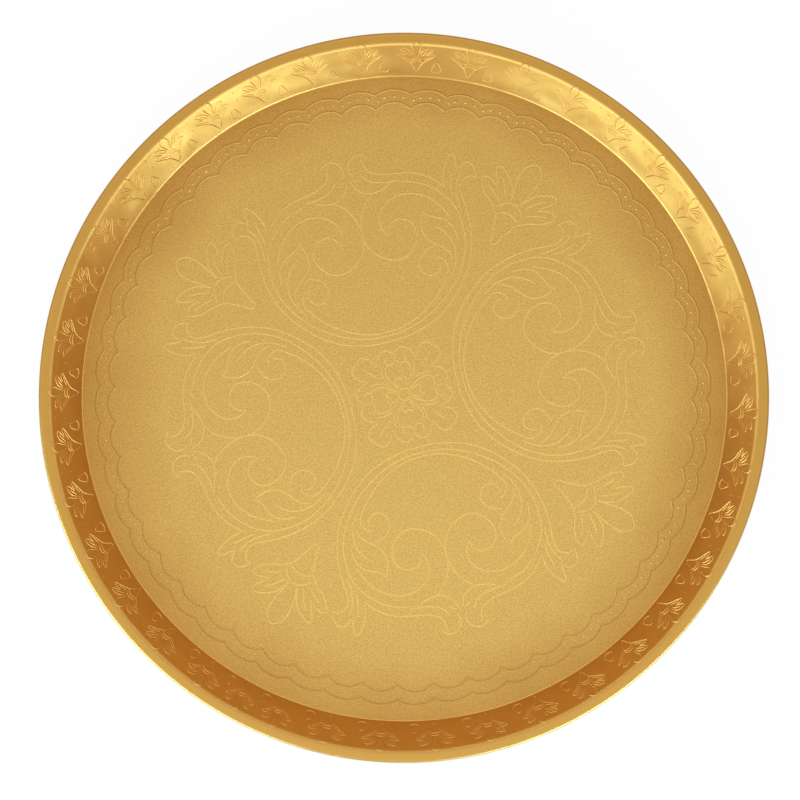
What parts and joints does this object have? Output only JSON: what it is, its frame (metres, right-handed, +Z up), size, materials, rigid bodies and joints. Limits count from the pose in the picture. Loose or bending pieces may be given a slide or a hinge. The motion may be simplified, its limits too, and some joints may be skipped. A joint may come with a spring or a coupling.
{
  "type": "decorative tray",
  "caption": "Round shallow pressed-metal serving tray with a flat floor, a sloping wall and a flat rim rolled round a stiffening wire, gold finish with floral relief.",
  "frame": {"origin": "middle of the flat underside that the tray rests on", "axes": "+Z up through the middle of the tray, out of the open side; +Y towards the top of the picture"},
  "size_m": [0.35, 0.35, 0.02],
  "materials": {
    "gold_sheet": "satin gold lacquer on pressed steel sheet, with raised line relief",
    "steel_wire": "drawn steel wire, bare, closed in by the rolled edge"
  },
  "bodies": {
    "root": {"tray_pan": "gold_sheet", "rim_wire": "steel_wire"}
  },
  "joints": []
}
